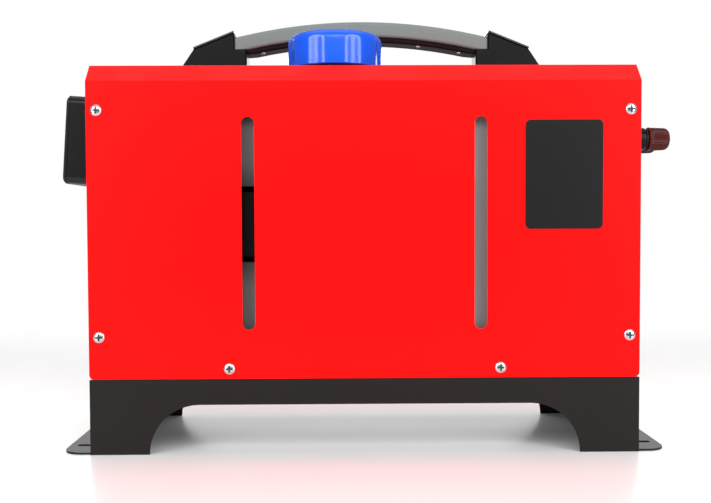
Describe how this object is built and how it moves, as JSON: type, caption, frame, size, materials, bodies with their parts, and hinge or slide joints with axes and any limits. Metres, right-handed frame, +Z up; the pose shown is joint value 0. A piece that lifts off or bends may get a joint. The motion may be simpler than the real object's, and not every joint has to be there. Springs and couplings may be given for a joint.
{
  "type": "diesel air heater",
  "caption": "Portable diesel air heater in a folded steel case on a raised base, with carrying handle, filler cap, sight slots, end controller and binding posts.",
  "frame": {"origin": "middle of the footprint, on the floor under the feet", "axes": "+X to the right seen from the front, +Y to the back, +Z up"},
  "size_m": [0.4443, 0.1408, 0.3237],
  "materials": {
    "red_paint": "smooth satin powder coat",
    "black_paint": "satin powder coat",
    "black_plastic": "fine moulded texture",
    "plate_black": "satin blank plate",
    "grey_plastic": "satin moulded grip",
    "blue_plastic": "glossy moulding",
    "maroon_plastic": "glossy ribbed moulding",
    "tank_plastic": "translucent blow-moulded polyethylene",
    "dark_pane": "polished display pane",
    "button_rubber": "soft satin key",
    "seal_rubber": "matt black rubber",
    "steel": "zinc plated",
    "cast_alloy": "as cast"
  },
  "bodies": {
    "root": {"base_tray": "black_paint", "black_post_collar": "black_plastic", "black_post_stud": "steel", "blower_motor": "steel", "combustion_chamber": "cast_alloy", "control_unit": "black_plastic", "controller_body": "black_plastic", "controller_holder": "black_plastic", "controller_window": "dark_pane", "delivery_line": "seal_rubber", "dosing_pump": "steel", "exhaust_pipe": "steel", "fan_housing": "cast_alloy", "filler_grommet": "seal_rubber", "front_cover": "red_paint", "fuel_tank": "tank_plastic", "glow_plug": "steel", "handle_grip": "grey_plastic", "handle_left_bracket": "black_plastic", "handle_right_bracket": "black_plastic", "handle_under_strip": "black_plastic", "heat_exchanger": "cast_alloy", "heater_casing_lower": "black_plastic", "heater_casing_upper": "black_plastic", "intake_pipe": "steel", "left_end_panel": "red_paint", "left_foot": "black_paint", "mains_inlet": "black_plastic", "outlet_collar": "black_plastic", "power_supply": "cast_alloy", "rating_plate": "plate_black", "rear_cover": "red_paint", "red_post_collar": "black_plastic", "red_post_stud": "steel", "right_end_panel": "red_paint", "right_foot": "black_paint", "suction_line": "seal_rubber", "top_deck": "red_paint"},
    "cap_seal": {"cap_gasket": "seal_rubber"},
    "cap": {"filler_cap": "blue_plastic"},
    "red_clamp": {"red_post_washer": "steel"},
    "red_knob": {"red_post_knob": "maroon_plastic"},
    "black_clamp": {"black_post_washer": "steel"},
    "black_knob": {"black_post_knob": "black_plastic"},
    "rocker": {"power_rocker": "button_rubber"},
    "blower_rotor": {"motor_shaft": "steel", "hot_air_fan": "black_plastic", "combustion_fan": "cast_alloy"},
    "key_power": {"button_power": "button_rubber"},
    "key_menu": {"button_menu": "button_rubber"},
    "key_up": {"button_up": "button_rubber"},
    "key_down": {"button_down": "button_rubber"},
    "key_confirm": {"button_confirm": "button_rubber"}
  },
  "joints": [
    {"name": "cap_lift", "type": "slide", "parent": "root", "child": "cap_seal", "axis": [0, 0, 1], "range_m": [0, 0.0121]},
    {"name": "cap_turn", "type": "hinge", "parent": "cap_seal", "child": "cap", "pos_m": [-0.0207, -0.019, 0.29], "axis": [0, 0, 1], "range_deg": [0, 1080]},
    {"name": "red_clamp_slide", "type": "slide", "parent": "root", "child": "red_clamp", "axis": [1, 0, 0], "range_m": [0, 0.005]},
    {"name": "red_knob_turn", "type": "hinge", "parent": "red_clamp", "child": "red_knob", "pos_m": [0.2, -0.045, 0.2238], "axis": [1, 0, 0], "range_deg": [0, 1800]},
    {"name": "black_clamp_slide", "type": "slide", "parent": "root", "child": "black_clamp", "axis": [1, 0, 0], "range_m": [0, 0.005]},
    {"name": "black_knob_turn", "type": "hinge", "parent": "black_clamp", "child": "black_knob", "pos_m": [0.2, -0.015, 0.2238], "axis": [1, 0, 0], "range_deg": [0, 1800]},
    {"name": "power_press", "type": "slide", "parent": "root", "child": "key_power", "axis": [0.9978, 0, -0.066], "range_m": [0, 0.0008], "stiffness_N_per_m": 600},
    {"name": "menu_press", "type": "slide", "parent": "root", "child": "key_menu", "axis": [0.9978, 0, -0.066], "range_m": [0, 0.0008], "stiffness_N_per_m": 600},
    {"name": "up_press", "type": "slide", "parent": "root", "child": "key_up", "axis": [0.9978, 0, -0.066], "range_m": [0, 0.0008], "stiffness_N_per_m": 600},
    {"name": "down_press", "type": "slide", "parent": "root", "child": "key_down", "axis": [0.9978, 0, -0.066], "range_m": [0, 0.0008], "stiffness_N_per_m": 600},
    {"name": "confirm_press", "type": "slide", "parent": "root", "child": "key_confirm", "axis": [0.9978, 0, -0.066], "range_m": [0, 0.0008], "stiffness_N_per_m": 600},
    {"name": "power_rocker_tilt", "type": "hinge", "parent": "root", "child": "rocker", "pos_m": [0.1923, 0.036, 0.23], "axis": [0, 1, 0], "range_deg": [0, 18.3]},
    {"name": "blower_spin", "type": "hinge", "parent": "root", "child": "blower_rotor", "pos_m": [0.087, 0, 0.126], "axis": [1, 0, 0], "continuous": true}
  ],
  "couplings": [
    {"joint": "cap_lift", "follows": "cap_turn", "m_per_rad": 0.00063662},
    {"joint": "red_knob_turn", "follows": "red_clamp_slide", "rad_per_m": 6283.2},
    {"joint": "black_knob_turn", "follows": "black_clamp_slide", "rad_per_m": 6283.2}
  ]
}
